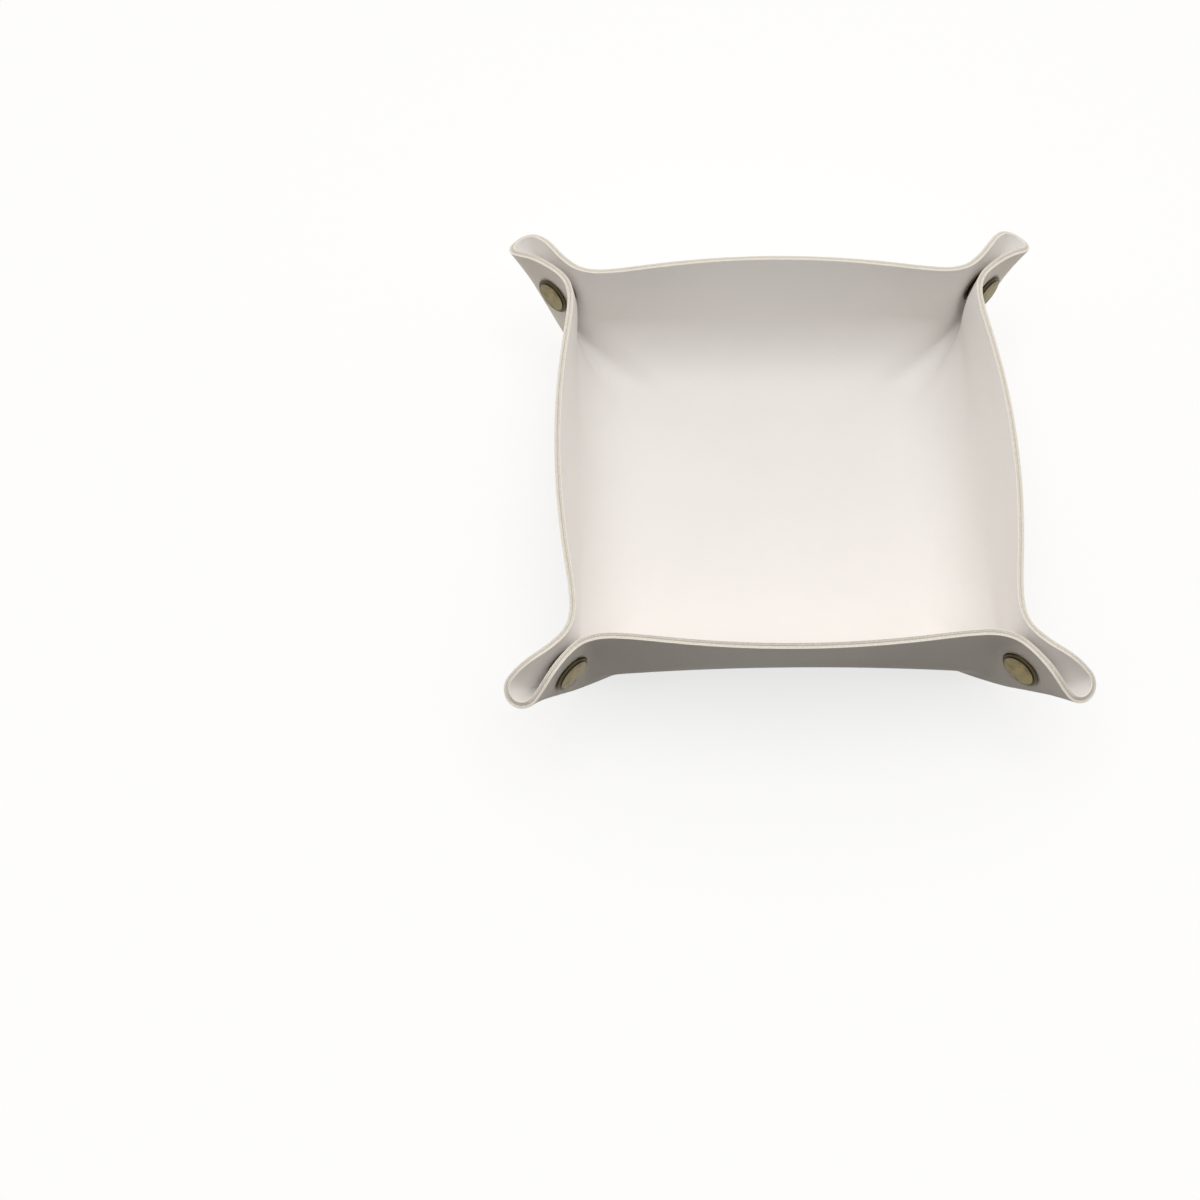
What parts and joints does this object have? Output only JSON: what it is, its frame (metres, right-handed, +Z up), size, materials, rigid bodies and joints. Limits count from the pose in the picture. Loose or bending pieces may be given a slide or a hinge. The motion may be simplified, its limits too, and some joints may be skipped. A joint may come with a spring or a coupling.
{
  "type": "jewelry tray",
  "caption": "Square catchall tray folded from one two-ply leather sheet: soft curved base, upright walls and corners pinched into open ears by capped metal snaps.",
  "frame": {"origin": "middle of the base's flat underside, on the surface the tray stands on", "axes": "+Z up, through the open top; +X to the right and -Y to the front wall, which carries two socket caps; the back wall is alike"},
  "size_m": [0.176, 0.176, 0.0453],
  "materials": {
    "outer_leather": "matte, very fine grain",
    "inner_leather": "smooth, soft satin",
    "cap_brass": "antique brass, satin",
    "snap_brass": "antique brass, satin",
    "spring_steel": "drawn wire"
  },
  "bodies": {
    "tray": {"outer_leather": "outer_leather", "inner_leather": "inner_leather", "front_left_stud": "snap_brass", "front_left_stud_cap": "cap_brass", "front_right_stud": "snap_brass", "front_right_stud_cap": "cap_brass", "back_left_stud": "snap_brass", "back_left_stud_cap": "cap_brass", "back_right_stud": "snap_brass", "back_right_stud_cap": "cap_brass"},
    "front_left_socket_half": {"front_left_socket_cap": "cap_brass", "front_left_socket": "snap_brass", "front_left_socket_spring": "spring_steel"},
    "front_right_socket_half": {"front_right_socket_cap": "cap_brass", "front_right_socket": "snap_brass", "front_right_socket_spring": "spring_steel"},
    "back_left_socket_half": {"back_left_socket_cap": "cap_brass", "back_left_socket": "snap_brass", "back_left_socket_spring": "spring_steel"},
    "back_right_socket_half": {"back_right_socket_cap": "cap_brass", "back_right_socket": "snap_brass", "back_right_socket_spring": "spring_steel"}
  },
  "joints": [
    {"name": "front_left_snap_release", "type": "slide", "parent": "tray", "child": "front_left_socket_half", "axis": [0.7071, -0.7071, 0], "range_m": [0, 0.005], "deforming": ["outer_leather", "inner_leather", "front_left_socket_spring"]},
    {"name": "front_right_snap_release", "type": "slide", "parent": "tray", "child": "front_right_socket_half", "axis": [-0.7071, -0.7071, 0], "range_m": [0, 0.005], "deforming": ["outer_leather", "inner_leather", "front_right_socket_spring"]},
    {"name": "back_left_snap_release", "type": "slide", "parent": "tray", "child": "back_left_socket_half", "axis": [0.7071, 0.7071, 0], "range_m": [0, 0.005], "deforming": ["outer_leather", "inner_leather", "back_left_socket_spring"]},
    {"name": "back_right_snap_release", "type": "slide", "parent": "tray", "child": "back_right_socket_half", "axis": [-0.7071, 0.7071, 0], "range_m": [0, 0.005], "deforming": ["outer_leather", "inner_leather", "back_right_socket_spring"]}
  ]
}
